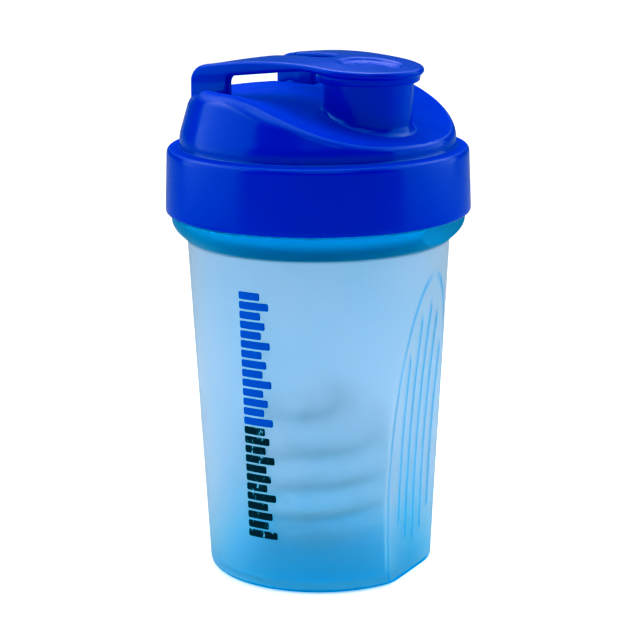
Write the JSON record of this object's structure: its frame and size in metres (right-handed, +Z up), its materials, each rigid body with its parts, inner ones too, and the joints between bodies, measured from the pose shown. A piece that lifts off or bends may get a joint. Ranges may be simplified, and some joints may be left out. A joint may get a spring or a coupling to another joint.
{
  "type": "shaker bottle",
  "caption": "Protein shaker bottle: frosted blue cup with grip facets, screw lid with drinking spout, two-legged flip cap, sealing ring and loose wire mixing ball.",
  "frame": {"origin": "middle of the base, on the surface the bottle stands on", "axes": "+Z up along the bottle's axis, -Y towards the drinking spout, +X to the right when the spout faces the viewer; the flip cap hinges at the +Y side"},
  "size_m": [0.094, 0.094, 0.1606],
  "materials": {
    "cup_plastic": "frosted translucent light blue polypropylene",
    "lid_plastic": "satin royal blue polypropylene",
    "silicone": "soft translucent white silicone",
    "wire": "drawn stainless wire"
  },
  "bodies": {
    "cup": {"cup": "cup_plastic"},
    "seal": {"lid_gasket": "silicone"},
    "lid": {"lid": "lid_plastic"},
    "cap": {"flip_cap": "lid_plastic"},
    "ball": {"mixing_ball": "wire"}
  },
  "joints": [
    {"name": "lid_lift", "type": "slide", "parent": "cup", "child": "seal", "axis": [0, 0, 1], "range_m": [0, 0.00625]},
    {"name": "lid_turn", "type": "hinge", "parent": "seal", "child": "lid", "pos_m": [0, 0, 0.12], "axis": [0, 0, 1], "range_deg": [0, 450]},
    {"name": "cap_hinge", "type": "hinge", "parent": "lid", "child": "cap", "pos_m": [0, 0.028, 0.146], "axis": [-1, 0, 0], "range_deg": [0, 120]},
    {"name": "ball_slide", "type": "slide", "parent": "cup", "child": "ball", "axis": [0, 0, 1], "range_m": [0, 0.07]}
  ],
  "couplings": [
    {"joint": "lid_lift", "follows": "lid_turn", "m_per_rad": 0.00079577}
  ]
}
